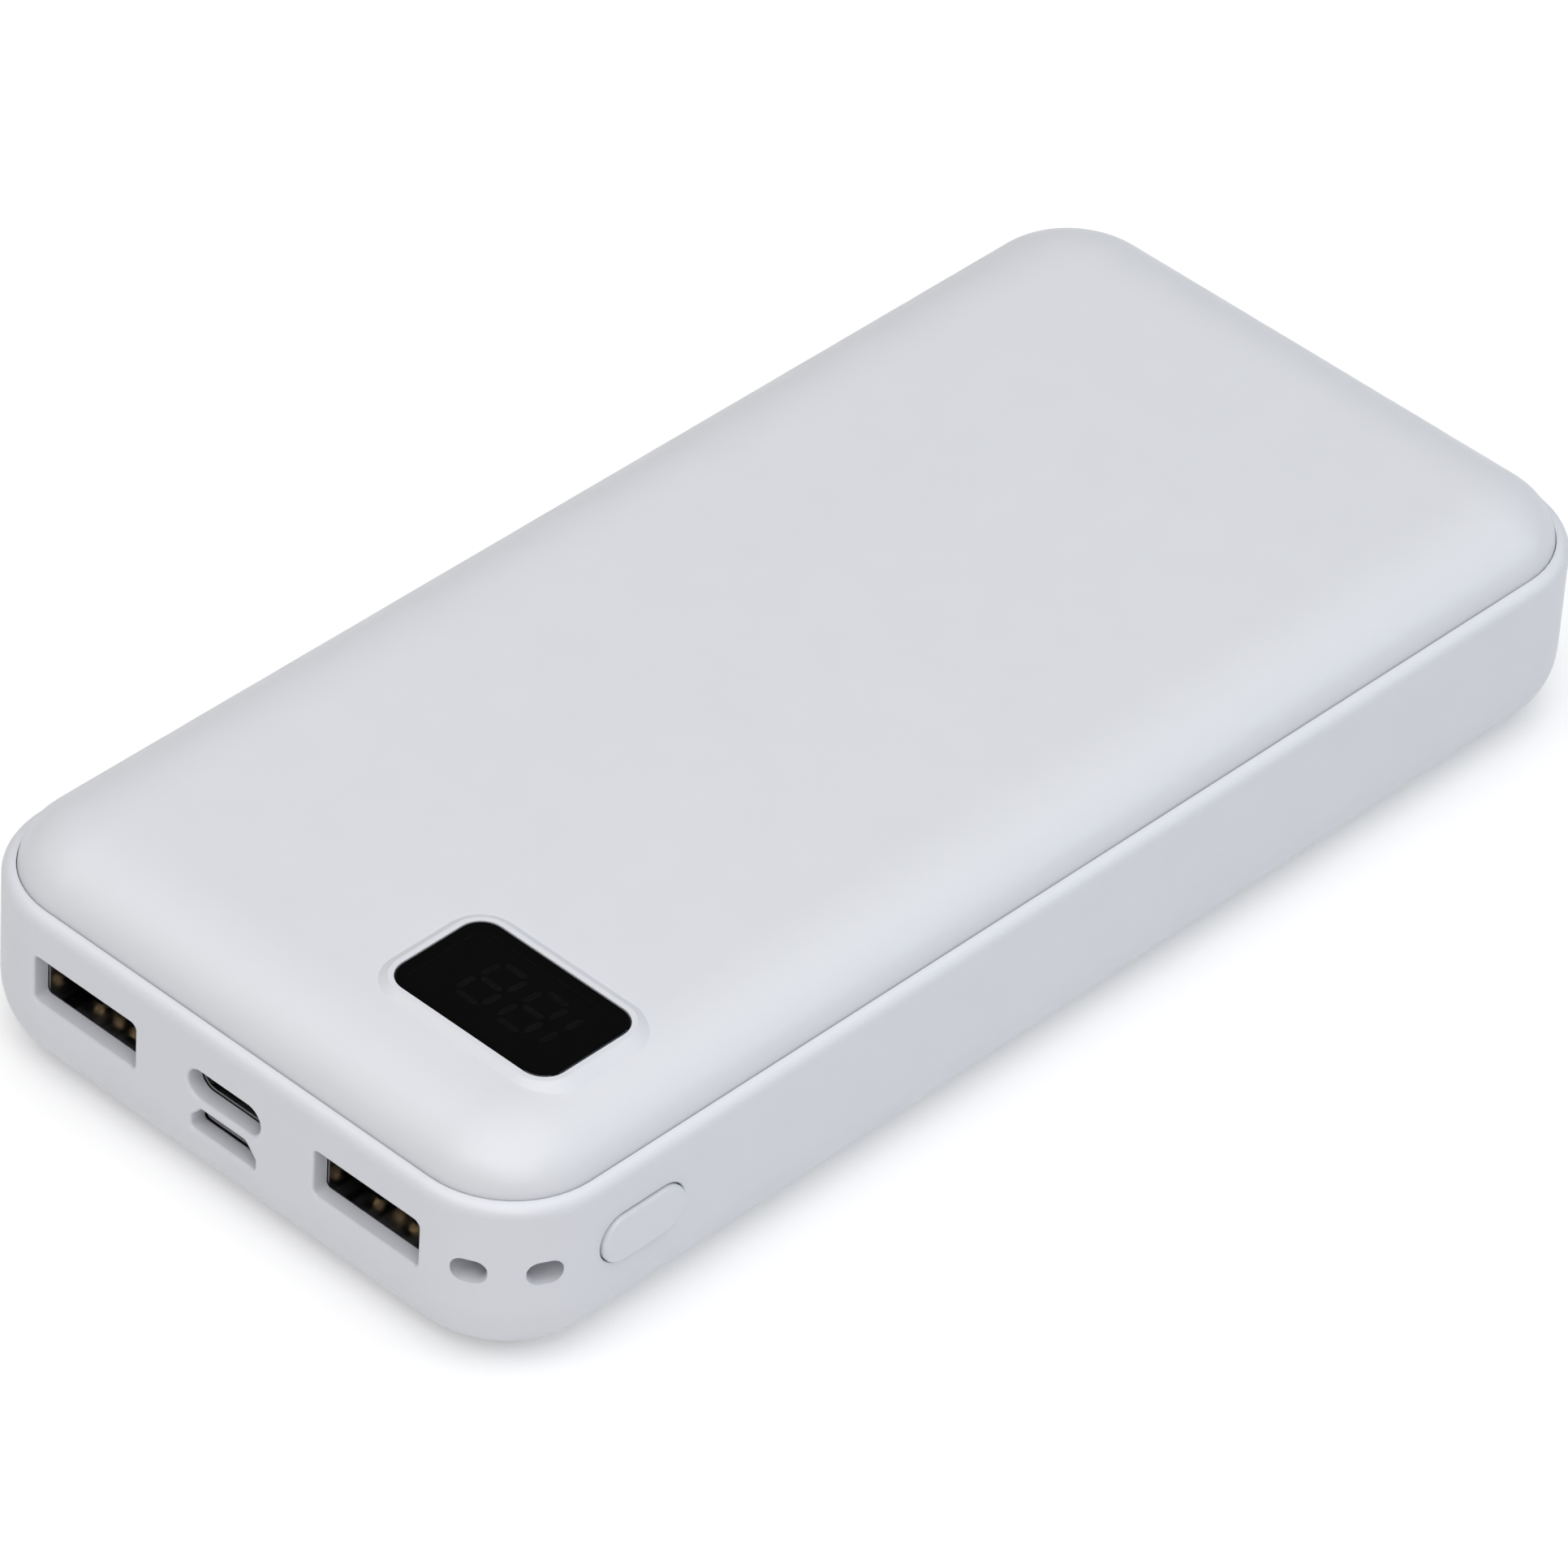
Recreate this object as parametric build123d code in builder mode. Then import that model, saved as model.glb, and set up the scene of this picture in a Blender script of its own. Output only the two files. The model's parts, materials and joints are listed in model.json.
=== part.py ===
"""A pocket power bank: two pouch cells and a charging board in a deep case, closed by a domed cover.

Millimetres, +Z up. The origin is at the centre of the underside. +X points to the side with the
button and -Y to the side with the ports. Each piece is written to parts/ as one STEP file.
"""

import os
from math import pi, radians, tan

from build123d import *

# ---- Driving dimensions: the case ----------------------------------------------------------------
WIDTH = 70.0
LENGTH = 145.4
CORNER_R = 11.0
WALL = 1.8
FLOOR = 1.6
BASE_R = 7.2  # rounding between the walls and the underside
LIP_TOP = 18.9  # top of the rim
LIP_THICK = 1.3
LIP_R = 1.15
LEDGE_Z = 17.2  # shelf inside the rim, which the cover stands on
RIB_SIZE = (52.0, 1.4, 5.6)  # rib across the floor, in front of the cells

# ---- The cover -----------------------------------------------------------------------------------
COVER_TOP = 23.6
SEAM_GAP = 0.05
COVER_INSET = LIP_THICK + SEAM_GAP
COVER_THICK = 1.6
DOME_START = 18.4  # where the cover's upright edge turns into the dome
DOME_RUN = 9.2  # how far in from its edge the dome levels out
DOME_SHOULDER = (0.62, 0.34)  # how long the curve keeps upright and level, as shares of its rise and run
SKIRT_BOTTOM = 15.0
SKIRT_INSET = WALL + 0.1
SKIRT_THICK = 1.2
SNAP_Z = 16.1
SNAP_SIZE = (8.0, 0.45, 0.8)  # length, depth and height of each snap ridge
SNAP_CLEARANCE = 0.15
SIDE_SNAP_Y = (-38.0, 0.0, 38.0)
END_SNAP_X = (-17.0, 17.0)

# ---- The window and the display under it ---------------------------------------------------------
WINDOW_X, WINDOW_Y = 16.25, -53.9
WINDOW_SIZE = (19.7, 12.1)
WINDOW_R = 2.4
WINDOW_THICK = 0.8
WINDOW_GAP = 0.06
BEZEL_RISE = 0.43  # how far the bezel and the window stand above the cover
BEZEL_BORDER = 0.6  # level rim round the window
BEZEL_TAPER = 62  # degrees off upright
ADHESIVE_THICK = 0.1
LEDGE_WIDTH = 0.9  # how far the ledge under the window reaches inwards
DISPLAY_SIZE = (17.4, 9.8, 4.2)
DISPLAY_TOP = 23.15
DISPLAY_BOARD_SIZE = (20.0, 13.0, 0.8)
PIN_COUNT = 7
PIN_PITCH = 2.54
PIN_R = 0.32
PIN_HOLE_R = 0.42
PIN_Y = -48.3
PIN_BELOW = 0.6  # solder end under the circuit board
PIN_ABOVE = 0.5  # solder end over the display's board
DIGIT_Y = -53.5
DIGIT_X = (21.8, 18.35, 13.3)  # the leading digit shows its right-hand strokes only
DIGIT_HALF_WIDTH = 1.6
DIGIT_HALF_HEIGHT = 2.8
DIGIT_SLANT = 5.5  # degrees
STROKE = 0.65
STROKE_DEPTH = 0.3
STROKE_GAP = 0.6

# ---- The ports -----------------------------------------------------------------------------------
PORT_Z = 11.9  # height of the USB-A ports
USB_A_X = 17.64
USB_A_OPENING = (12.95, 5.1)
USB_A_SHELL = (13.1, 5.7, 14.0)  # width, height, depth
USB_A_WING = (1.4, 3.0, 0.3)
USB_A_TONGUE = (11.1, 1.84, 8.8)
USB_A_TONGUE_RISE = 1.0
USB_A_CONTACT_X = (-3.5, -1.0, 1.0, 3.5)
USB_A_CONTACT_WIDTH = 1.0
USB_A_BLOCK = 3.0  # depth of the moulding that closes the back of the shell
USB_A_SPRING_X = 3.0  # spring fingers, to both sides of a shell's middle
USB_A_SPRING_Y = 5.4  # from the mouth to the middle of a finger's slot
USB_A_SPRING_SLOT = (2.6, 6.6)
USB_A_SPRING = (1.8, 6.2)
USB_A_SPRING_TIP = 1.4  # clear space at the free end
USB_A_WING_Y = 6.0  # from the mouth to the middle of the solder wings
USB_A_TAIL_NOTCH = (9.0, 1.0)
USB_C_OPENING = (9.1, 3.2)
USB_C_SHELL = (8.94, 3.16, 7.3)
USB_C_TONGUE = (6.69, 0.7, 4.5)
USB_C_BLOCK = 1.8
USB_C_PITCH = 0.5
USB_C_CONTACT = (0.26, 0.06, 3.4)
USB_C_CONTACT_COUNT = 12  # in each of the two rows
MICRO_Z = 8.72
MICRO_OPENING = (8.05, 2.75)
MICRO_SHELL = (7.5, 2.5, 5.6)
MICRO_TONGUE = (5.2, 0.6, 3.2)
MICRO_BLOCK = 1.4
MICRO_PITCH = 0.65
MICRO_CONTACT = (0.36, 0.12, 2.6)
MICRO_CONTACT_COUNT = 5
MICRO_TONGUE_RISE = 0.35
MICRO_SHOULDER = 0.45  # how far the shoulders come in, as a share of the height
SHEET = 0.3  # thickness of the connector shells
INSERT_GAP = 0.1  # between a shell and the moulding in it
CONTACT_THICK = 0.25
MOUTH_R = 0.35  # soft edge of the port openings
MOUTH_REACH = 24.2  # the port openings lie within this of the middle
PORT_SETBACK = 0.1  # from the inside of the front wall to the connectors

# ---- The button and its switch -------------------------------------------------------------------
BUTTON_Y = -56.15
BUTTON_Z = 11.7
BUTTON_SIZE = (10.1, 5.0)
BUTTON_PROUD = 0.5
BUTTON_GAP = 0.12
BUTTON_FLANGE = (11.5, 6.0, 0.8)
BUTTON_EDGE_R = 0.4
BUTTON_NUB = (2.8, 1.6)  # the post on its back that presses the switch
BUTTON_RIM_R = 0.15  # soft edge of the button's hole
SWITCH_FACE_X = 30.7  # front of the switch's base
SWITCH_SIZE = (2.3, 6.0, 2.8)
SWITCH_POCKET = (1.5, 4.4, 2.2)
SWITCH_PLATE = 0.2
PLUNGER_FOOT = (0.8, 3.4, 1.8)
PLUNGER_STEM = (2.4, 1.3)
PLUNGER_TIP_X = 32.0
DOME_RIM_R = 1.0
DOME_HEIGHT = 0.45
DOME_THICK = 0.1

# ---- The lanyard eye -----------------------------------------------------------------------------
EYE_Z = 11.5
EYE_BAR_R = 1.7
EYE_OUTER_R = 4.95
EYE_HEIGHT = 2.55
EYE_DEPTH = 0.51  # from the corner's surface in to the middle of the bar
EYE_WALL = 1.2

# ---- The board and what stands on it -------------------------------------------------------------
BOARD_Z = 10.1
BOARD_THICK = 1.0
BOARD_RIGHT_X = 31.1
BOARD_BACK_Y = -42.6
BOARD_CLEARANCE = 0.6
NOTCH_CLEARANCE = 0.2
BOSS_R = 2.3
BOSS_POINTS = ((-28.2, -59.5), (-28.2, -46.0), (7.9, -60.0), (27.6, -46.0))
SCREW_R = 0.98
SCREW_HOLE_R = 1.0
BOARD_HOLE_R = 1.2
SCREW_HEAD_R = 1.9
SCREW_HEAD_H = 1.4
SCREW_DEPTH = 6.0
RECESS = (2.0, 0.45, 0.8)  # arms of the cross in each screw's head, and its depth
INDUCTOR_SIZE = (7.3, 6.8, 3.0)
INDUCTOR_POINT = (0.4, -53.6)
CHIP_SIZE = (5.0, 5.0, 0.9)
CHIP_POINT = (-8.0, -50.0)
TRANSISTOR_SIZE = (5.0, 4.0, 1.5)
TRANSISTOR_POINTS = ((-15.5, -52.8), (-15.5, -48.4))
CAPACITOR_SIZE = (3.2, 1.6, 1.6)
CAPACITOR_POINTS = (
    (-8.0, -54.6),
    (-8.0, -45.4),
    (-22.0, -45.2),
    (-1.8, -47.4),
    (-1.8, -45.0),
    (8.4, -51.6),
)

# ---- The cells -----------------------------------------------------------------------------------
CELL_SIZE = (60.0, 104.0, 9.3)
CELL_Y = 14.5
CELL_CORNER_R = 3.0
CELL_EDGE_R = 1.6
LOWER_CELL_Z = 2.3
CELL_TAPE = 0.4
TERRACE_SIZE = (56.0, 3.6, 0.8)  # the sealed strip at the front of each pouch
PAD_SIZE = (44.0, 90.0)
STRIP_X = 14.0
STRIP_WIDTH = 8.0
STRIP_THICK = 0.3
STRIP_BEND = 0.5
STRIP_REACH = 1.1
LEAD_R = 0.65
BEND_SHARE = 0.45  # how much of a lead's straight run each bend at its ends may take

HEIGHT = COVER_TOP + BEZEL_RISE
BOARD_TOP = BOARD_Z + BOARD_THICK
FRONT_Y = -LENGTH / 2
CONNECTOR_Y = FRONT_Y + WALL + PORT_SETBACK
USB_C_Z = BOARD_TOP + USB_C_SHELL[1] / 2
CELL_FRONT_Y = CELL_Y - CELL_SIZE[1] / 2
TERRACE_FRONT_Y = CELL_FRONT_Y - TERRACE_SIZE[1]
UPPER_CELL_Z = LOWER_CELL_Z + CELL_SIZE[2] + CELL_TAPE
CORNER_X = WIDTH / 2 - CORNER_R
CORNER_Y = LENGTH / 2 - CORNER_R
EYE_X = CORNER_X + (CORNER_R - EYE_DEPTH) / 2**0.5
EYE_Y = -CORNER_Y - (CORNER_R - EYE_DEPTH) / 2**0.5
WINDOW_BOTTOM = HEIGHT - WINDOW_THICK
DISPLAY_BOTTOM = DISPLAY_TOP - DISPLAY_SIZE[2]
SWITCH_Z = BOARD_TOP + SWITCH_SIZE[2] / 2 + 0.1
USB_A_BACK_Y = CONNECTOR_Y + USB_A_SHELL[2]
STRIP_FRONT_Y = TERRACE_FRONT_Y - STRIP_REACH - STRIP_THICK / 2


# ---- Planes and shapes that several pieces share -------------------------------------------------
def front_plane(y, z=0.0, x=0.0):
    """A plane that faces the front: sketch x is +X, sketch y is +Z, and extrude goes towards -Y."""
    return Plane(origin=(x, y, z), x_dir=(1, 0, 0), z_dir=(0, -1, 0))


def side_plane(x, y=0.0, z=0.0):
    """A plane that faces +X: sketch x is +Y, sketch y is +Z, and extrude goes towards +X."""
    return Plane(origin=(x, y, z), x_dir=(0, 1, 0), z_dir=(1, 0, 0))


def rounded_plan(inset):
    """The case's plan outline, inset all round, in the open sketch."""
    return RectangleRounded(WIDTH - 2 * inset, LENGTH - 2 * inset, CORNER_R - inset)


def dome_section(start, reach, bottom, top, run):
    """Half a section of the cover: upright to the dome's start, then a shoulder that levels out."""
    rise = top - DOME_START
    with BuildSketch() as section:
        with BuildLine():
            Polyline((start, top), (start, bottom), (reach, bottom), (reach, DOME_START))
            Bezier(
                (reach, DOME_START),
                (reach, DOME_START + DOME_SHOULDER[0] * rise),
                (reach - DOME_SHOULDER[1] * run, top),
                (reach - run, top),
            )
            Line((reach - run, top), (start, top))
        make_face()
    return section.sketch


def dome(inset, bottom, top, run):
    """A solid dome on the plan outline: its straight sides and its round corners share one section."""
    reach_x = WIDTH / 2 - inset
    reach_y = LENGTH / 2 - inset
    with BuildPart() as quarter:
        with BuildSketch(front_plane(0)):
            add(dome_section(0, reach_x, bottom, top, run))
        extrude(amount=-CORNER_Y)
        with BuildSketch(side_plane(0)):
            add(dome_section(0, reach_y, bottom, top, run))
        extrude(amount=CORNER_X)
        with BuildSketch(front_plane(CORNER_Y)):
            add(dome_section(CORNER_X, reach_x, bottom, top, run))
        revolve(axis=Axis((CORNER_X, CORNER_Y, 0), (0, 0, 1)), revolution_arc=90)
        mirror(about=Plane.XZ)
        mirror(about=Plane.YZ)
    return quarter.part


def snap_ridges(inset, clearance):
    """The ridges on the cover's skirt; with a clearance, the grooves that they click into."""
    length, depth, height = (size + 2 * clearance for size in SNAP_SIZE)
    with BuildPart() as ridges:
        for side in (-1, 1):
            with Locations(*[(side * (WIDTH / 2 - inset), y, SNAP_Z) for y in SIDE_SNAP_Y]):
                Box(2 * depth, length, height)
            with Locations(*[(x, side * (LENGTH / 2 - inset), SNAP_Z) for x in END_SNAP_X]):
                Box(length, 2 * depth, height)
    return ridges.part


def micro_outline(width, height, corner):
    """The micro-USB outline: a lower half of full width under sloping shoulders."""
    half = width / 2
    narrow = half - MICRO_SHOULDER * height
    with BuildSketch() as shape:
        Polygon(
            (-half, -height / 2),
            (half, -height / 2),
            (half, 0),
            (narrow, height / 2),
            (-narrow, height / 2),
            (-half, 0),
            align=None,
        )
        fillet(shape.vertices(), corner)
    return shape.sketch


def strip_profile(points, bend, thick):
    """The side view of a bent metal strip that follows the points."""
    with BuildSketch() as profile:
        with BuildLine():
            FilletPolyline(*points, radius=bend)
        trace(line_width=thick)
    return profile.sketch


def bend_radii(points):
    """The largest tidy radius at each inner point of a lead's route."""
    radii = []
    for before, corner, after in zip(points, points[1:], points[2:]):
        first = Vector(*corner) - Vector(*before)
        second = Vector(*after) - Vector(*corner)
        half_turn = radians(first.get_angle(second)) / 2
        radii.append(BEND_SHARE * min(first.length, second.length) / tan(half_turn))
    return radii


on_face = (Align.CENTER, Align.CENTER, Align.MIN)  # boxes that stand on the point they are placed at
os.makedirs("parts", exist_ok=True)

# ---- bottom_case ---------------------------------------------------------------------------------
with BuildPart() as case_block:
    with BuildSketch():
        rounded_plan(0)
    extrude(amount=LIP_TOP)
    fillet(case_block.edges().group_by(Axis.Z)[0], BASE_R)
    fillet(case_block.edges().group_by(Axis.Z)[-1], LIP_R)

with BuildPart() as case_hollow:
    with BuildSketch(Plane.XY.offset(FLOOR)):
        rounded_plan(WALL)
    extrude(amount=LIP_TOP)
    fillet(case_hollow.edges().group_by(Axis.Z)[0], BASE_R - WALL)
    with BuildSketch(Plane.XY.offset(LEDGE_Z)):
        rounded_plan(LIP_THICK)
    extrude(amount=LIP_TOP)

# The bosses, the rib and the thick corner round the lanyard eye, cut to the outside of the case.
with BuildPart() as case_inside:
    with BuildSketch(Plane.XY.offset(FLOOR / 2)):
        with Locations((EYE_X, EYE_Y)):
            Circle(EYE_OUTER_R + EYE_WALL)
    extrude(amount=EYE_Z + EYE_HEIGHT / 2 + EYE_WALL - FLOOR / 2)
    with BuildSketch(Plane.XY.offset(FLOOR / 2)):
        with Locations(*BOSS_POINTS):
            Circle(BOSS_R)
    extrude(amount=BOARD_Z - FLOOR / 2)
    with Locations((0, TERRACE_FRONT_Y - 1.5, FLOOR / 2)):
        Box(*RIB_SIZE, align=on_face)
    add(case_block.part, mode=Mode.INTERSECT)

snap_grooves = snap_ridges(WALL, SNAP_CLEARANCE)
with BuildPart() as bottom_case:
    add(case_block.part)
    add(case_hollow.part, mode=Mode.SUBTRACT)
    add(case_inside.part)
    # The openings of the ports.
    with BuildSketch(front_plane(FRONT_Y)):
        with Locations((-USB_A_X, PORT_Z), (USB_A_X, PORT_Z)):
            RectangleRounded(*USB_A_OPENING, 0.6)
        with Locations((0, USB_C_Z)):
            SlotOverall(*USB_C_OPENING)
        with Locations((0, MICRO_Z)):
            add(micro_outline(*MICRO_OPENING, 0.45))
    extrude(amount=-1.5 * WALL, mode=Mode.SUBTRACT)
    # The button's hole.
    with BuildSketch(side_plane(WIDTH / 2, BUTTON_Y, BUTTON_Z)):
        SlotOverall(BUTTON_SIZE[0] + 2 * BUTTON_GAP, BUTTON_SIZE[1] + 2 * BUTTON_GAP)
    extrude(amount=-1.5 * WALL, mode=Mode.SUBTRACT)
    # The lanyard eye goes in at one hole, round behind the bar and out at the other.
    with BuildSketch(front_plane(EYE_Y, EYE_Z, EYE_X)):
        with Locations(((EYE_BAR_R + EYE_OUTER_R) / 2, 0)):
            RectangleRounded(EYE_OUTER_R - EYE_BAR_R, EYE_HEIGHT, 1.2)
    revolve(axis=Axis((EYE_X, EYE_Y, 0), (0, 0, 1)), mode=Mode.SUBTRACT)
    # Moulded openings have soft outer edges.
    mouths = bottom_case.edges().filter_by_position(Axis.Y, FRONT_Y, FRONT_Y)
    fillet(mouths.filter_by_position(Axis.X, -MOUTH_REACH, MOUTH_REACH), MOUTH_R)
    rim_edges = bottom_case.edges().filter_by_position(Axis.X, WIDTH / 2, WIDTH / 2)
    button_span = (BUTTON_Y - BUTTON_SIZE[0], BUTTON_Y + BUTTON_SIZE[0])
    fillet(rim_edges.filter_by_position(Axis.Y, *button_span), BUTTON_RIM_R)
    with Locations(*[(x, y, BOARD_Z) for x, y in BOSS_POINTS]):
        Hole(SCREW_HOLE_R, depth=SCREW_DEPTH)
    add(snap_grooves, mode=Mode.SUBTRACT)
bottom_case.part.label = "bottom_case"
export_step(bottom_case.part, "parts/bottom_case.step")

# ---- top_cover -----------------------------------------------------------------------------------
cover_outside = dome(COVER_INSET, LEDGE_Z, COVER_TOP, DOME_RUN)
hollow_top = COVER_TOP - COVER_THICK
cover_hollow = dome(COVER_INSET + COVER_THICK, LEDGE_Z - 1, hollow_top, DOME_RUN - COVER_THICK)
cover_ridges = snap_ridges(SKIRT_INSET, 0)
with BuildPart() as top_cover:
    add(cover_outside)
    # A low bezel with sloping flanks frames the window.
    with BuildSketch(Plane.XY.offset(HEIGHT)):
        with Locations((WINDOW_X, WINDOW_Y)):
            RectangleRounded(
                WINDOW_SIZE[0] + 2 * BEZEL_BORDER,
                WINDOW_SIZE[1] + 2 * BEZEL_BORDER,
                WINDOW_R + BEZEL_BORDER,
            )
    extrude(amount=-2 * BEZEL_RISE, taper=-BEZEL_TAPER)
    add(cover_hollow, mode=Mode.SUBTRACT)
    with BuildSketch(Plane.XY.offset(SKIRT_BOTTOM)):
        rounded_plan(SKIRT_INSET)
        RectangleRounded(
            WIDTH - 2 * (SKIRT_INSET + SKIRT_THICK),
            LENGTH - 2 * (SKIRT_INSET + SKIRT_THICK),
            CORNER_R - SKIRT_INSET - SKIRT_THICK,
            mode=Mode.SUBTRACT,
        )
    extrude(amount=LEDGE_Z - SKIRT_BOTTOM + 0.8)
    add(cover_ridges)
    # The window's pocket, and the opening inside its ledge.
    with BuildSketch(Plane.XY.offset(HEIGHT)):
        with Locations((WINDOW_X, WINDOW_Y)):
            RectangleRounded(
                WINDOW_SIZE[0] + 2 * WINDOW_GAP,
                WINDOW_SIZE[1] + 2 * WINDOW_GAP,
                WINDOW_R + WINDOW_GAP,
            )
    extrude(amount=-WINDOW_THICK - ADHESIVE_THICK, mode=Mode.SUBTRACT)
    with BuildSketch(Plane.XY.offset(HEIGHT)):
        with Locations((WINDOW_X, WINDOW_Y)):
            RectangleRounded(
                WINDOW_SIZE[0] - 2 * LEDGE_WIDTH,
                WINDOW_SIZE[1] - 2 * LEDGE_WIDTH,
                WINDOW_R - LEDGE_WIDTH,
            )
    extrude(amount=-2 * COVER_THICK, mode=Mode.SUBTRACT)
top_cover.part.label = "top_cover"
export_step(top_cover.part, "parts/top_cover.step")

# ---- display_window and window_adhesive ----------------------------------------------------------
with BuildPart() as display_window:
    with BuildSketch(Plane.XY.offset(WINDOW_BOTTOM)):
        with Locations((WINDOW_X, WINDOW_Y)):
            RectangleRounded(*WINDOW_SIZE, WINDOW_R)
    extrude(amount=WINDOW_THICK)
    chamfer(display_window.edges().group_by(Axis.Z)[-1], 0.12)
display_window.part.label = "display_window"
export_step(display_window.part, "parts/display_window.step")

with BuildPart() as window_adhesive:
    with BuildSketch(Plane.XY.offset(WINDOW_BOTTOM - ADHESIVE_THICK)):
        with Locations((WINDOW_X, WINDOW_Y)):
            RectangleRounded(*WINDOW_SIZE, WINDOW_R)
            RectangleRounded(
                WINDOW_SIZE[0] - 2 * LEDGE_WIDTH,
                WINDOW_SIZE[1] - 2 * LEDGE_WIDTH,
                WINDOW_R - LEDGE_WIDTH,
                mode=Mode.SUBTRACT,
            )
    extrude(amount=ADHESIVE_THICK)
window_adhesive.part.label = "window_adhesive"
export_step(window_adhesive.part, "parts/window_adhesive.step")


# ---- The display: segments, housing, board and pins ----------------------------------------------
def stroke(length):
    """One stroke of a digit, with pointed ends, along the sketch's x."""
    half = length / 2
    with BuildSketch() as shape:
        Polygon(
            (-half, 0),
            (-half + STROKE / 2, STROKE / 2),
            (half - STROKE / 2, STROKE / 2),
            (half, 0),
            (half - STROKE / 2, -STROKE / 2),
            (-half + STROKE / 2, -STROKE / 2),
            align=None,
        )
    return shape.sketch


# The digits read upright from the back edge: their tops are towards -Y and their right towards -X.
display_plane = Plane(origin=(0, DIGIT_Y, DISPLAY_TOP), x_dir=(-1, 0, 0), z_dir=(0, 0, 1))
level_stroke = stroke(2 * DIGIT_HALF_WIDTH - STROKE_GAP)
upright_stroke = stroke(DIGIT_HALF_HEIGHT - STROKE_GAP)
lean = tan(radians(DIGIT_SLANT))
with BuildPart() as display_segments:
    with BuildSketch(display_plane):
        for place, digit_x in enumerate(DIGIT_X):
            sides = (1,) if place == 0 else (-1, 1)
            for half_y in (-DIGIT_HALF_HEIGHT / 2, DIGIT_HALF_HEIGHT / 2):
                for side in sides:
                    column = 0 if place == 0 else side * DIGIT_HALF_WIDTH
                    stroke_x = column - digit_x + lean * half_y
                    with Locations(Location((stroke_x, half_y, 0), 90 - DIGIT_SLANT)):
                        add(upright_stroke)
            if place > 0:
                for y in (-DIGIT_HALF_HEIGHT, 0, DIGIT_HALF_HEIGHT):
                    with Locations((-digit_x + lean * y, y)):
                        add(level_stroke)
    extrude(amount=-STROKE_DEPTH)
display_segments.part.label = "display_segments"
export_step(display_segments.part, "parts/display_segments.step")

with BuildPart() as display_housing:
    with Locations((WINDOW_X, WINDOW_Y, DISPLAY_BOTTOM)):
        Box(*DISPLAY_SIZE, align=on_face)
    chamfer(display_housing.edges().filter_by(Axis.Z), 0.4)
    add(display_segments.part, mode=Mode.SUBTRACT)
display_housing.part.label = "display_housing"
export_step(display_housing.part, "parts/display_housing.step")

pin_points = [(WINDOW_X + PIN_PITCH * (i - (PIN_COUNT - 1) / 2), PIN_Y) for i in range(PIN_COUNT)]
with BuildPart() as display_board:
    with BuildSketch(Plane.XY.offset(DISPLAY_BOTTOM)):
        with Locations((WINDOW_X, WINDOW_Y)):
            RectangleRounded(DISPLAY_BOARD_SIZE[0], DISPLAY_BOARD_SIZE[1], 0.8)
        with Locations(*pin_points):
            Circle(PIN_HOLE_R, mode=Mode.SUBTRACT)
    extrude(amount=-DISPLAY_BOARD_SIZE[2])
display_board.part.label = "display_board"
export_step(display_board.part, "parts/display_board.step")

with BuildPart() as display_pins:
    with BuildSketch(Plane.XY.offset(BOARD_Z - PIN_BELOW)):
        with Locations(*pin_points):
            Circle(PIN_R)
    extrude(amount=DISPLAY_BOTTOM + PIN_ABOVE - BOARD_Z + PIN_BELOW)
display_pins.part.label = "display_pins"
export_step(display_pins.part, "parts/display_pins.step")

# ---- circuit_board -------------------------------------------------------------------------------
notch_width = USB_A_SHELL[0] + 2 * NOTCH_CLEARANCE
with BuildPart() as circuit_board:
    with BuildSketch(Plane.XY.offset(BOARD_Z)):
        rounded_plan(WALL + BOARD_CLEARANCE)
        # Cut off everything behind the cells' end and the strip under the button.
        with Locations((0, BOARD_BACK_Y)):
            Rectangle(WIDTH, LENGTH, align=(Align.CENTER, Align.MIN), mode=Mode.SUBTRACT)
        with Locations((BOARD_RIGHT_X, 0)):
            Rectangle(WIDTH, LENGTH, align=(Align.MIN, Align.CENTER), mode=Mode.SUBTRACT)
        with Locations((EYE_X, EYE_Y)):
            Circle(EYE_OUTER_R + EYE_WALL + 0.3, mode=Mode.SUBTRACT)
        with Locations((-USB_A_X, FRONT_Y), (USB_A_X, FRONT_Y)):
            Rectangle(
                notch_width,
                USB_A_BACK_Y - FRONT_Y + NOTCH_CLEARANCE,
                align=(Align.CENTER, Align.MIN),
                mode=Mode.SUBTRACT,
            )
        with Locations(*BOSS_POINTS):
            Circle(BOARD_HOLE_R, mode=Mode.SUBTRACT)
        with Locations(*pin_points):
            Circle(PIN_HOLE_R, mode=Mode.SUBTRACT)
    extrude(amount=BOARD_THICK)
circuit_board.part.label = "circuit_board"
export_step(circuit_board.part, "parts/circuit_board.step")

# ---- The two USB-A ports -------------------------------------------------------------------------
usb_a_inside = (USB_A_SHELL[0] - 2 * SHEET, USB_A_SHELL[1] - 2 * SHEET)
tongue_z = PORT_Z + USB_A_TONGUE_RISE
tongue_low = tongue_z - USB_A_TONGUE[1] / 2
block_front_y = USB_A_BACK_Y - USB_A_BLOCK
tongue_front_y = block_front_y - USB_A_TONGUE[2]
contact_z = tongue_low - CONTACT_THICK / 2
tail_z = BOARD_TOP + CONTACT_THICK / 2
usb_a_contact = strip_profile(
    (
        (tongue_front_y + 0.8, tongue_low + 0.4),
        (tongue_front_y + 1.6, contact_z - 0.35),
        (tongue_front_y + 4.0, contact_z),
        (block_front_y + 1.0, contact_z),
        (block_front_y + 1.9, tail_z),
        (USB_A_BACK_Y + 1.6, tail_z),
    ),
    0.35,
    CONTACT_THICK,
)
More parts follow.
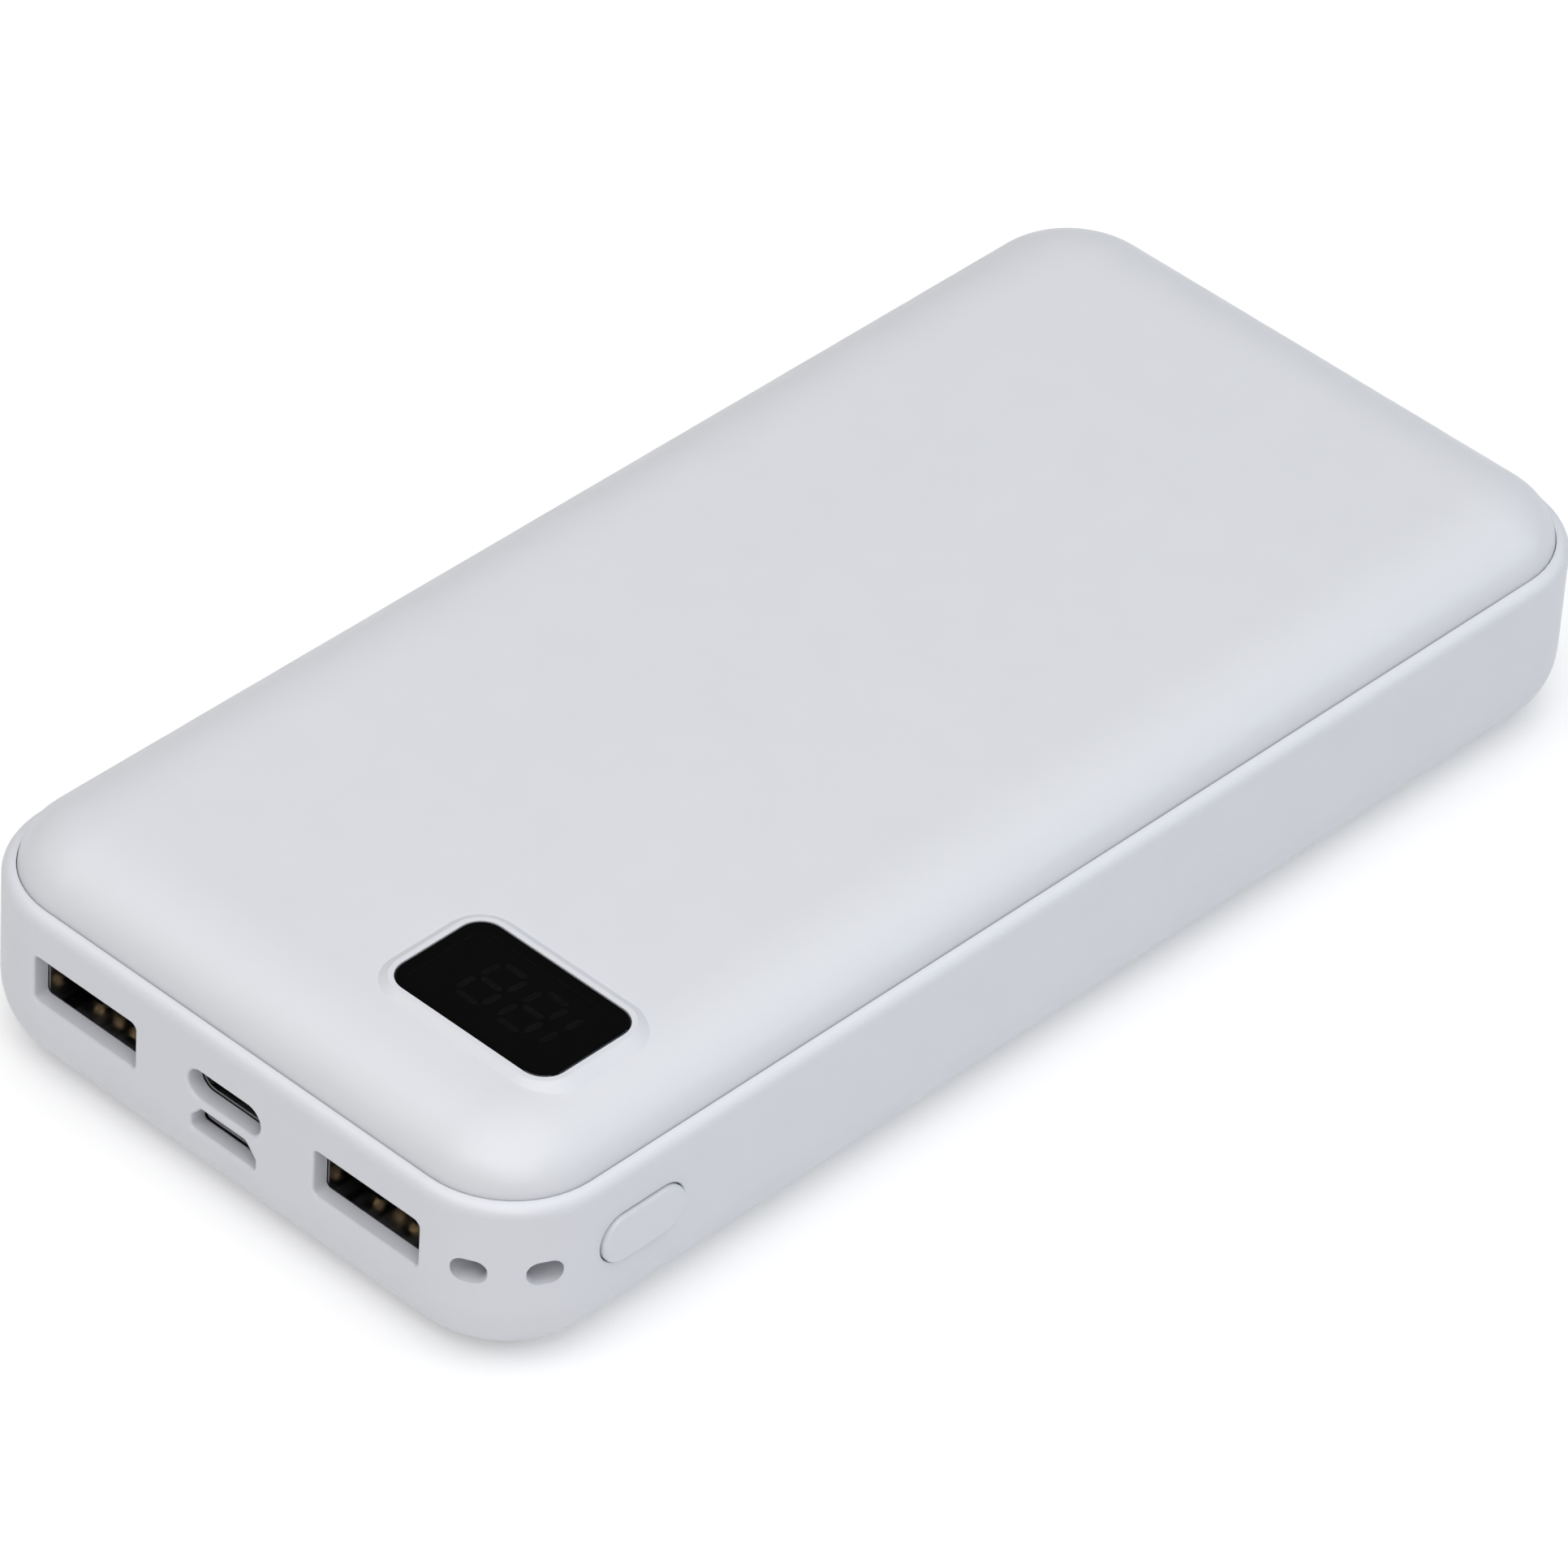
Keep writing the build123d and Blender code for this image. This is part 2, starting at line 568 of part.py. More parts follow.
for side, port_x in (("left", -USB_A_X), ("right", USB_A_X)):
    with BuildPart() as usb_a_contacts:
        for x in USB_A_CONTACT_X:
            with BuildSketch(side_plane(port_x + x)):
                add(usb_a_contact)
            extrude(amount=USB_A_CONTACT_WIDTH / 2, both=True)
    usb_a_contacts.part.label = f"usb_a_{side}_contacts"
    export_step(usb_a_contacts.part, f"parts/usb_a_{side}_contacts.step")

    with BuildPart() as usb_a_tongue:
        with BuildSketch(front_plane(USB_A_BACK_Y, PORT_Z, port_x)):
            Rectangle(usb_a_inside[0] - INSERT_GAP, usb_a_inside[1] - INSERT_GAP)
        extrude(amount=USB_A_BLOCK)
        with BuildSketch(front_plane(block_front_y, tongue_z, port_x)):
            Rectangle(*USB_A_TONGUE[:2])
        extrude(amount=USB_A_TONGUE[2])
        chamfer(usb_a_tongue.faces().sort_by(Axis.Y)[0].edges(), 0.3)
        add(usb_a_contacts.part, mode=Mode.SUBTRACT)
    usb_a_tongue.part.label = f"usb_a_{side}_tongue"
    export_step(usb_a_tongue.part, f"parts/usb_a_{side}_tongue.step")

    with BuildPart() as usb_a_shell:
        with BuildSketch(front_plane(CONNECTOR_Y, PORT_Z, port_x)):
            RectangleRounded(USB_A_SHELL[0], USB_A_SHELL[1], 0.6)
            RectangleRounded(*usb_a_inside, 0.3, mode=Mode.SUBTRACT)
        extrude(amount=-USB_A_SHELL[2])
        # Spring fingers, cut on three sides in the top and the bottom of the shell.
        with BuildSketch(Plane.XY):
            with Locations((port_x, CONNECTOR_Y + USB_A_SPRING_Y)):
                with GridLocations(2 * USB_A_SPRING_X, 1, 2, 1):
                    RectangleRounded(*USB_A_SPRING_SLOT, 0.4)
                    RectangleRounded(*USB_A_SPRING, 0.4, mode=Mode.SUBTRACT)
            with Locations((port_x, CONNECTOR_Y + USB_A_SPRING_Y + USB_A_SPRING[1] / 2 - 0.3)):
                with GridLocations(2 * USB_A_SPRING_X, 1, 2, 1):
                    Rectangle(USB_A_SPRING[0], USB_A_SPRING_TIP, mode=Mode.SUBTRACT)
        extrude(amount=HEIGHT, mode=Mode.SUBTRACT)
        # Wings that are soldered to the top of the board.
        for wing in (-1, 1):
            wing_x = port_x + wing * USB_A_SHELL[0] / 2
            with Locations((wing_x, CONNECTOR_Y + USB_A_WING_Y, BOARD_TOP)):
                Box(2 * USB_A_WING[0], USB_A_WING[1], USB_A_WING[2], align=on_face)
        with BuildSketch(front_plane(CONNECTOR_Y, PORT_Z, port_x)):
            Rectangle(*usb_a_inside)
        extrude(amount=-USB_A_SHELL[2], mode=Mode.SUBTRACT)
        # Notches at the back let the contacts' tails out.
        with BuildSketch(front_plane(USB_A_BACK_Y, tail_z, port_x)):
            Rectangle(*USB_A_TAIL_NOTCH)
        extrude(amount=USB_A_TAIL_NOTCH[1], mode=Mode.SUBTRACT)
    usb_a_shell.part.label = f"usb_a_{side}_shell"
    export_step(usb_a_shell.part, f"parts/usb_a_{side}_shell.step")

# ---- The USB-C port, on top of the board ---------------------------------------------------------
usb_c_back_y = CONNECTOR_Y + USB_C_SHELL[2]
usb_c_block_y = usb_c_back_y - USB_C_BLOCK
usb_c_inside = (USB_C_SHELL[0] - 2 * SHEET, USB_C_SHELL[1] - 2 * SHEET)
with BuildPart() as usb_c_contacts:
    with Locations(front_plane(usb_c_block_y - USB_C_TONGUE[2] / 2, USB_C_Z)):
        with GridLocations(USB_C_PITCH, USB_C_TONGUE[1] + USB_C_CONTACT[1], USB_C_CONTACT_COUNT, 2):
            Box(*USB_C_CONTACT)
usb_c_contacts.part.label = "usb_c_contacts"
export_step(usb_c_contacts.part, "parts/usb_c_contacts.step")

with BuildPart() as usb_c_tongue:
    with BuildSketch(front_plane(usb_c_back_y, USB_C_Z)):
        SlotOverall(usb_c_inside[0] - INSERT_GAP, usb_c_inside[1] - INSERT_GAP)
    extrude(amount=USB_C_BLOCK)
    with BuildSketch(front_plane(usb_c_block_y, USB_C_Z)):
        Rectangle(*USB_C_TONGUE[:2])
    extrude(amount=USB_C_TONGUE[2])
    chamfer(usb_c_tongue.faces().sort_by(Axis.Y)[0].edges(), 0.15)
usb_c_tongue.part.label = "usb_c_tongue"
export_step(usb_c_tongue.part, "parts/usb_c_tongue.step")

with BuildPart() as usb_c_shell:
    with BuildSketch(front_plane(CONNECTOR_Y, USB_C_Z)):
        SlotOverall(USB_C_SHELL[0], USB_C_SHELL[1])
        SlotOverall(*usb_c_inside, mode=Mode.SUBTRACT)
    extrude(amount=-USB_C_SHELL[2])
usb_c_shell.part.label = "usb_c_shell"
export_step(usb_c_shell.part, "parts/usb_c_shell.step")

# ---- The micro-USB port, under the board ---------------------------------------------------------
micro_z = BOARD_Z - MICRO_SHELL[1] / 2
micro_back_y = CONNECTOR_Y + MICRO_SHELL[2]
micro_block_y = micro_back_y - MICRO_BLOCK
micro_tongue_z = micro_z + MICRO_TONGUE_RISE
micro_contact_z = micro_tongue_z - (MICRO_TONGUE[1] + MICRO_CONTACT[1]) / 2
with BuildPart() as micro_usb_contacts:
    with Locations(front_plane(micro_block_y - MICRO_TONGUE[2] / 2, micro_contact_z)):
        with GridLocations(MICRO_PITCH, 1, MICRO_CONTACT_COUNT, 1):
            Box(*MICRO_CONTACT)
micro_usb_contacts.part.label = "micro_usb_contacts"
export_step(micro_usb_contacts.part, "parts/micro_usb_contacts.step")

micro_inside = (MICRO_SHELL[0] - 2 * SHEET, MICRO_SHELL[1] - 2 * SHEET)
with BuildPart() as micro_usb_tongue:
    with BuildSketch(front_plane(micro_back_y, micro_z)):
        add(micro_outline(micro_inside[0] - INSERT_GAP, micro_inside[1] - INSERT_GAP, 0.1))
    extrude(amount=MICRO_BLOCK)
    with BuildSketch(front_plane(micro_block_y, micro_tongue_z)):
        Rectangle(*MICRO_TONGUE[:2])
    extrude(amount=MICRO_TONGUE[2])
micro_usb_tongue.part.label = "micro_usb_tongue"
export_step(micro_usb_tongue.part, "parts/micro_usb_tongue.step")

with BuildPart() as micro_usb_shell:
    with BuildSketch(front_plane(CONNECTOR_Y, micro_z)):
        add(micro_outline(MICRO_SHELL[0], MICRO_SHELL[1], 0.4))
        add(micro_outline(*micro_inside, 0.15), mode=Mode.SUBTRACT)
    extrude(amount=-MICRO_SHELL[2])
micro_usb_shell.part.label = "micro_usb_shell"
export_step(micro_usb_shell.part, "parts/micro_usb_shell.step")

# ---- power_button --------------------------------------------------------------------------------
flange_front_x = WIDTH / 2 - WALL - 0.05
flange_back_x = flange_front_x - BUTTON_FLANGE[2]
nub_length = flange_back_x - PLUNGER_TIP_X - 0.05
with BuildPart() as power_button:
    with BuildSketch(side_plane(flange_back_x, BUTTON_Y, BUTTON_Z)):
        SlotOverall(*BUTTON_FLANGE[:2])
    extrude(amount=BUTTON_FLANGE[2])
    with BuildSketch(side_plane(flange_front_x, BUTTON_Y, BUTTON_Z)):
        SlotOverall(*BUTTON_SIZE)
    extrude(amount=WIDTH / 2 + BUTTON_PROUD - flange_front_x)
    fillet(power_button.faces().sort_by(Axis.X)[-1].edges(), BUTTON_EDGE_R)
    with BuildSketch(side_plane(flange_back_x, BUTTON_Y, SWITCH_Z)):
        Rectangle(*BUTTON_NUB)
    extrude(amount=-nub_length)
power_button.part.label = "power_button"
export_step(power_button.part, "parts/power_button.step")

# ---- The switch behind the button ----------------------------------------------------------------
pocket_floor_x = SWITCH_FACE_X - SWITCH_POCKET[0]
with BuildPart() as switch_base:
    with BuildSketch(side_plane(SWITCH_FACE_X, BUTTON_Y, SWITCH_Z)):
        Rectangle(*SWITCH_SIZE[1:])
    extrude(amount=-SWITCH_SIZE[0])
    with BuildSketch(side_plane(SWITCH_FACE_X, BUTTON_Y, SWITCH_Z)):
        RectangleRounded(SWITCH_POCKET[1], SWITCH_POCKET[2], 0.3)
    extrude(amount=-SWITCH_POCKET[0], mode=Mode.SUBTRACT)
switch_base.part.label = "switch_base"
export_step(switch_base.part, "parts/switch_base.step")

# A steel cover: a plate over the front with a hole for the plunger, and two legs along the ends.
with BuildPart() as switch_frame:
    with BuildSketch(side_plane(SWITCH_FACE_X, BUTTON_Y, SWITCH_Z)):
        Rectangle(SWITCH_SIZE[1] + 2 * SWITCH_PLATE, SWITCH_SIZE[2])
        Rectangle(PLUNGER_STEM[0] + 0.2, PLUNGER_STEM[1] + 0.2, mode=Mode.SUBTRACT)
    extrude(amount=SWITCH_PLATE)
    for end in (-1, 1):
        leg_y = BUTTON_Y + end * (SWITCH_SIZE[1] + SWITCH_PLATE) / 2
        with Locations((SWITCH_FACE_X - SWITCH_SIZE[0] / 2, leg_y, SWITCH_Z)):
            Box(SWITCH_SIZE[0], SWITCH_PLATE, SWITCH_SIZE[2])
switch_frame.part.label = "switch_frame"
export_step(switch_frame.part, "parts/switch_frame.step")

# The snap dome bulges towards the plunger; the plunger flattens it.
dome_r = (DOME_RIM_R**2 + DOME_HEIGHT**2) / (2 * DOME_HEIGHT)
with BuildPart(side_plane(pocket_floor_x, BUTTON_Y, SWITCH_Z)) as switch_dome:
    with Locations((0, 0, DOME_HEIGHT - dome_r)):
        Sphere(dome_r)
        Sphere(dome_r - DOME_THICK, mode=Mode.SUBTRACT)
    Box(3 * DOME_RIM_R, 3 * DOME_RIM_R, DOME_RIM_R, align=on_face, mode=Mode.INTERSECT)
switch_dome.part.label = "switch_dome"
export_step(switch_dome.part, "parts/switch_dome.step")

foot_back_x = pocket_floor_x + DOME_HEIGHT + 0.05
with BuildPart() as switch_plunger:
    with BuildSketch(side_plane(foot_back_x, BUTTON_Y, SWITCH_Z)):
        RectangleRounded(PLUNGER_FOOT[1], PLUNGER_FOOT[2], 0.3)
    extrude(amount=PLUNGER_FOOT[0])
    with BuildSketch(side_plane(foot_back_x, BUTTON_Y, SWITCH_Z)):
        RectangleRounded(*PLUNGER_STEM, 0.2)
    extrude(amount=PLUNGER_TIP_X - foot_back_x)
switch_plunger.part.label = "switch_plunger"
export_step(switch_plunger.part, "parts/switch_plunger.step")

# ---- Components and screws on the board ----------------------------------------------------------
with BuildPart() as power_inductor:
    with Locations((*INDUCTOR_POINT, BOARD_TOP)):
        Box(*INDUCTOR_SIZE, align=on_face)
    chamfer(power_inductor.edges().filter_by(Axis.Z), 0.8)
    fillet(power_inductor.edges().group_by(Axis.Z)[-1], 0.3)
power_inductor.part.label = "power_inductor"
export_step(power_inductor.part, "parts/power_inductor.step")

with BuildPart() as controller_chip:
    with Locations((*CHIP_POINT, BOARD_TOP)):
        Box(*CHIP_SIZE, align=on_face)
    chamfer(controller_chip.edges().group_by(Axis.Z)[-1], 0.12)
controller_chip.part.label = "controller_chip"
export_step(controller_chip.part, "parts/controller_chip.step")

with BuildPart() as power_transistors:
    with Locations(*[(x, y, BOARD_TOP) for x, y in TRANSISTOR_POINTS]):
        Box(*TRANSISTOR_SIZE, align=on_face)
    chamfer(power_transistors.edges().group_by(Axis.Z)[-1], 0.2)
power_transistors.part.label = "power_transistors"
export_step(power_transistors.part, "parts/power_transistors.step")

with BuildPart() as ceramic_capacitors:
    with Locations(*[(x, y, BOARD_TOP) for x, y in CAPACITOR_POINTS]):
        Box(*CAPACITOR_SIZE, align=on_face)
    fillet(ceramic_capacitors.edges().filter_by(Axis.X), 0.15)
ceramic_capacitors.part.label = "ceramic_capacitors"
export_step(ceramic_capacitors.part, "parts/ceramic_capacitors.step")

with BuildPart() as board_screws:
    with BuildSketch(Plane.XY.offset(BOARD_TOP)):
        with Locations(*BOSS_POINTS):
            Circle(SCREW_HEAD_R)
    extrude(amount=SCREW_HEAD_H)
    fillet(board_screws.edges().group_by(Axis.Z)[-1], 0.6)
    with BuildSketch(Plane.XY.offset(BOARD_TOP)):
        with Locations(*BOSS_POINTS):
            Circle(SCREW_R)
    extrude(amount=-SCREW_DEPTH)
    chamfer(board_screws.edges().group_by(Axis.Z)[0], 0.4)
    # Cross recesses.
    with BuildSketch(Plane.XY.offset(BOARD_TOP + SCREW_HEAD_H)):
        with Locations(*BOSS_POINTS):
            Rectangle(RECESS[0], RECESS[1])
            Rectangle(RECESS[1], RECESS[0])
    extrude(amount=-RECESS[2], mode=Mode.SUBTRACT)
board_screws.part.label = "board_screws"
export_step(board_screws.part, "parts/board_screws.step")


# ---- The cells and what holds them ---------------------------------------------------------------
def pouch_cell(bottom):
    """A pouch cell: a soft-edged block with its sealed terrace at the front."""
    with BuildPart() as cell:
        with BuildSketch(Plane.XY.offset(bottom)):
            with Locations((0, CELL_Y)):
                RectangleRounded(CELL_SIZE[0], CELL_SIZE[1], CELL_CORNER_R)
        extrude(amount=CELL_SIZE[2])
        fillet(cell.edges().group_by(Axis.Z)[0] + cell.edges().group_by(Axis.Z)[-1], CELL_EDGE_R)
        with Locations((0, TERRACE_FRONT_Y, bottom + CELL_SIZE[2] / 2)):
            Box(
                TERRACE_SIZE[0],
                TERRACE_SIZE[1] + CELL_EDGE_R,
                TERRACE_SIZE[2],
                align=(Align.CENTER, Align.MIN, Align.CENTER),
            )
    return cell.part


with BuildPart() as lower_cell:
    add(pouch_cell(LOWER_CELL_Z))
lower_cell.part.label = "lower_cell"
export_step(lower_cell.part, "parts/lower_cell.step")

with BuildPart() as upper_cell:
    add(pouch_cell(UPPER_CELL_Z))
upper_cell.part.label = "upper_cell"
export_step(upper_cell.part, "parts/upper_cell.step")

upper_cell_top = UPPER_CELL_Z + CELL_SIZE[2]
pad_levels = {
    "lower_foam_pad": (FLOOR, LOWER_CELL_Z - FLOOR),
    "cell_tape": (UPPER_CELL_Z - CELL_TAPE, CELL_TAPE),
    "upper_foam_pad": (upper_cell_top, hollow_top - upper_cell_top),
}
for name, (pad_bottom, pad_thick) in pad_levels.items():
    with BuildPart() as pad:
        with BuildSketch(Plane.XY.offset(pad_bottom)):
            with Locations((0, CELL_Y)):
                RectangleRounded(*PAD_SIZE, 2.0)
        extrude(amount=pad_thick)
    pad.part.label = name
    export_step(pad.part, f"parts/{name}.step")

# A strip at each pole joins the upper cell to the lower one, in front of their terraces.
lower_terrace_z = LOWER_CELL_Z + CELL_SIZE[2] / 2
upper_terrace_z = UPPER_CELL_Z + CELL_SIZE[2] / 2
strip_side = strip_profile(
    (
        (TERRACE_FRONT_Y, upper_terrace_z),
        (TERRACE_FRONT_Y - STRIP_REACH, upper_terrace_z),
        (TERRACE_FRONT_Y - STRIP_REACH, lower_terrace_z),
        (TERRACE_FRONT_Y, lower_terrace_z),
    ),
    STRIP_BEND,
    STRIP_THICK,
)
for name, strip_x in (("positive_strip", -STRIP_X), ("negative_strip", STRIP_X)):
    with BuildPart() as strip:
        with BuildSketch(side_plane(strip_x)):
            add(strip_side)
        extrude(amount=STRIP_WIDTH / 2, both=True)
    strip.part.label = name
    export_step(strip.part, f"parts/{name}.step")

# Each lead leaves its strip square to it, rises a little and comes straight down on its pad.
lead_routes = {
    "battery_lead_positive": (
        (-STRIP_X, STRIP_FRONT_Y, 12.8),
        (-STRIP_X, -45.2, 12.8),
        (-17.4, -47.6, 14.6),
        (-21.2, -50.2, 14.9),
        (-21.2, -50.2, BOARD_TOP),
    ),
    "battery_lead_negative": (
        (11.6, STRIP_FRONT_Y, 12.8),
        (11.6, -44.6, 12.8),
        (8.4, -45.6, 14.6),
        (4.0, -47.4, 15.0),
        (4.0, -47.4, BOARD_TOP),
    ),
}
for name, points in lead_routes.items():
    radii = bend_radii(points)
    with BuildPart() as lead:
        with BuildLine() as route:
            FilletPolyline(*points, radius=radii)
        with BuildSketch(Plane(origin=route.line @ 0, z_dir=route.line % 0)):
            Circle(LEAD_R)
        sweep()
    lead.part.label = name
    export_step(lead.part, f"parts/{name}.step")
    length = route.wire().length
    expected = pi * LEAD_R**2 * length
    print(name, "length", round(length, 1), "radii", [round(r, 1) for r in radii])
    print("  volume", round(lead.part.volume, 2), "expected", round(expected, 2))
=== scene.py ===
"""The looks of a pocket power bank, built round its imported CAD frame.

Everything is in metres, +Z up, with the ports towards -Y.
"""

import json
import math

import bpy
from mathutils import Matrix, Vector

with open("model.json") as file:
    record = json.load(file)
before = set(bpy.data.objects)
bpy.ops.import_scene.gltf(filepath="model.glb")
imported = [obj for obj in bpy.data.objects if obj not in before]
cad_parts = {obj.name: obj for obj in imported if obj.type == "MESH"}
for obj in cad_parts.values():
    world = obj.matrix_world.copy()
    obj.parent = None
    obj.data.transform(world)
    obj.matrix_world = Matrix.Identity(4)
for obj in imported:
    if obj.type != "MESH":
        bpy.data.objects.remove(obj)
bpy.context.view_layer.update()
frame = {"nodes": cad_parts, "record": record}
MM = 0.001
WHITE = (1, 1, 1)

# ---- Camera --------------------------------------------------------------------------------------
AZIMUTH, ELEVATION, ROLL = math.radians(41.48), math.radians(39.18), math.radians(3.86)
CAMERA_DISTANCE = 0.9837
CAMERA_SHIFT = (-0.00136, 0.00638)  # sideways and upwards, across the view
FOCAL_PER_WIDTH = 13233.38 / 1932  # the focal length in image widths
SENSOR = 36.0
CLIP_START, CLIP_END = 0.05, 20


def make_camera():
    """A long lens on the line through the origin, moved a little across the view."""
    back = Vector(
        (
            math.sin(AZIMUTH) * math.cos(ELEVATION),
            -math.cos(AZIMUTH) * math.cos(ELEVATION),
            math.sin(ELEVATION),
        )
    )
    right = Vector((math.cos(AZIMUTH), math.sin(AZIMUTH), 0))
    up = back.cross(right)
    x_axis = math.cos(ROLL) * right + math.sin(ROLL) * up
    y_axis = -math.sin(ROLL) * right + math.cos(ROLL) * up
    place = back * CAMERA_DISTANCE + right * CAMERA_SHIFT[0] + up * CAMERA_SHIFT[1]
    data = bpy.data.cameras.new("camera")
    data.sensor_width = SENSOR
    data.lens = FOCAL_PER_WIDTH * SENSOR
    data.clip_start, data.clip_end = CLIP_START, CLIP_END
    camera = bpy.data.objects.new("camera", data)
    bpy.context.scene.collection.objects.link(camera)
    turn = Matrix((x_axis, y_axis, back)).transposed().to_4x4()
    camera.matrix_world = Matrix.Translation(place) @ turn
    bpy.context.scene.camera = camera


# ---- Materials -----------------------------------------------------------------------------------
# A pattern's scale is roughly its number of features in a metre. A bump's depth is in millimetres.
MIX_FIRST, MIX_SECOND, MIX_RESULT = 6, 7, 2  # the colour sockets of a Mix node
ACRYLIC_IOR = 1.49
LAMINATE_IOR = 1.5
METAL_SPREAD = 0.12  # how much darker the dull patches of a plated sheet are
FOAM_CELLS = 2600.0
ROLLED_ALONG_Y = (1, 0.06, 1)

CASE_WHITE = (0.600, 0.606, 0.640)
COVER_WHITE = (0.600, 0.606, 0.632)
SOOT = (0.010, 0.010, 0.011)


class Nodes:
    """A small helper that adds and links the nodes of one material."""

    def __init__(self, name):
        self.material = bpy.data.materials.new(name)
        self.material.use_nodes = True
        self.tree = self.material.node_tree
        self.shader = self.tree.nodes["Principled BSDF"]
        self.coords = self.tree.nodes.new("ShaderNodeTexCoord").outputs["Object"]

    def link(self, source, target):
        self.tree.links.new(source, target)

    def noise(self, scale, detail=3.0, rough=0.55, stretch=None):
        """Cloudy noise from 0 to 1. A small stretch along an axis draws it out that way."""
        node = self.tree.nodes.new("ShaderNodeTexNoise")
        node.inputs["Scale"].default_value = scale
        node.inputs["Detail"].default_value = detail
        node.inputs["Roughness"].default_value = rough
        source = self.coords
        if stretch:
            mapping = self.tree.nodes.new("ShaderNodeMapping")
            mapping.inputs["Scale"].default_value = stretch
            self.link(self.coords, mapping.inputs["Vector"])
            source = mapping.outputs["Vector"]
        self.link(source, node.inputs["Vector"])
        return node.outputs["Fac"]

    def cells(self, scale):
        """The distance to the middle of the nearest of many scattered cells."""
        node = self.tree.nodes.new("ShaderNodeTexVoronoi")
        node.inputs["Scale"].default_value = scale
        self.link(self.coords, node.inputs["Vector"])
        return node.outputs["Distance"]

    def ramp(self, source, low, high, start=0.35, stop=0.65):
        """Turn the values from start to stop into low to high."""
        node = self.tree.nodes.new("ShaderNodeMapRange")
        node.inputs["From Min"].default_value = start
        node.inputs["From Max"].default_value = stop
        node.inputs["To Min"].default_value = low
        node.inputs["To Max"].default_value = high
        self.link(source, node.inputs["Value"])
        return node.outputs["Result"]

    def mix(self, factor, first, second):
        """Blend two colours, each of them a tuple or another node's output."""
        node = self.tree.nodes.new("ShaderNodeMix")
        node.data_type = "RGBA"
        self.link(factor, node.inputs["Factor"])
        for index, value in ((MIX_FIRST, first), (MIX_SECOND, second)):
            if isinstance(value, tuple):
                node.inputs[index].default_value = (*value, 1)
            else:
                self.link(value, node.inputs[index])
        return node.outputs[MIX_RESULT]

    def colour(self, source):
        self.link(source, self.shader.inputs["Base Color"])

    def roughness(self, source):
        self.link(source, self.shader.inputs["Roughness"])

    def bump(self, source, depth, strength, below=None):
        """Raise the surface by a pattern, on top of an earlier bump if one is given."""
        node = self.tree.nodes.new("ShaderNodeBump")
        node.inputs["Distance"].default_value = depth * MM
        node.inputs["Strength"].default_value = strength
        self.link(source, node.inputs["Height"])
        if below:
            self.link(below, node.inputs["Normal"])
        self.link(node.outputs["Normal"], self.shader.inputs["Normal"])
        return node.outputs["Normal"]

    def set(self, **values):
        """Set the shader's own values, the same all over the surface."""
        for name, value in values.items():
            socket = self.shader.inputs[name.replace("_", " ")]
            socket.default_value = (*value, 1) if isinstance(value, tuple) else value


def darken(colour, share):
    return tuple(c * (1 - share) for c in colour)


def plastic(name, colour, rough, grain=0.006, spread=0.03, ripple=0.03):
    """Moulded plastic: a fine spark-eroded grain, a slight cloudiness and uneven gloss."""
    m = Nodes(name)
    cloud = m.ramp(m.noise(scale=45.0, detail=4.0), low=0, high=1)
    m.colour(m.mix(cloud, darken(colour, spread), colour))
    m.roughness(m.ramp(m.noise(scale=220.0), low=rough - 0.04, high=rough + 0.05))
    waves = m.bump(m.noise(scale=160.0, detail=2.0), depth=ripple, strength=0.35)
    m.bump(m.noise(scale=5200.0, rough=0.6), depth=grain, strength=0.6, below=waves)
    m.set(IOR=ACRYLIC_IOR)
    return m.material


def metal(name, colour, rough, brush=(1, 1, 1)):
    """Plated sheet metal with faint rolling lines and handling marks."""
    m = Nodes(name)
    marks = m.ramp(m.noise(scale=350.0, detail=4.0), low=0, high=1)
    m.colour(m.mix(marks, darken(colour, METAL_SPREAD), colour))
    gloss = m.noise(scale=900.0, stretch=brush)
    m.roughness(m.ramp(gloss, low=rough - 0.06, high=rough + 0.1))
    m.bump(m.noise(scale=2500.0, detail=2.0, stretch=brush), depth=0.004, strength=0.5)
    m.set(Metallic=1.0)
    return m.material


def smoked_lens(name):
    """Dark tinted acrylic that lets a little of the digits through, with a faint swirl."""
    m = Nodes(name)
    swirl = m.ramp(m.noise(scale=90.0), low=0, high=1)
    m.colour(m.mix(swirl, (0.075, 0.075, 0.078), (0.085, 0.084, 0.085)))
    m.roughness(m.ramp(m.noise(scale=400.0), low=0.02, high=0.05))
    m.bump(m.noise(scale=120.0, detail=1.0), depth=0.004, strength=0.3)
    m.set(IOR=ACRYLIC_IOR, Transmission_Weight=1.0)
    return m.material


def solder_mask(name):
    """A green circuit board: tracks show as lighter lines, with tinned vias between them."""
    m = Nodes(name)
    tracks = m.tree.nodes.new("ShaderNodeTexBrick")
    tracks.inputs["Scale"].default_value = 260.0
    tracks.inputs["Mortar Size"].default_value = 0.03
    tracks.inputs["Color1"].default_value = (0.006, 0.075, 0.030, 1)
    tracks.inputs["Color2"].default_value = (0.007, 0.085, 0.034, 1)
    tracks.inputs["Mortar"].default_value = (0.020, 0.170, 0.070, 1)
    m.link(m.coords, tracks.inputs["Vector"])
    via = m.ramp(m.cells(scale=420.0), low=1, high=0, start=0.10, stop=0.14)
    m.colour(m.mix(via, tracks.outputs["Color"], (0.55, 0.54, 0.50)))
    m.roughness(m.ramp(m.noise(scale=300.0), low=0.28, high=0.40))
    m.bump(tracks.outputs["Fac"], depth=0.03, strength=0.6)
    m.set(IOR=LAMINATE_IOR)
    return m.material


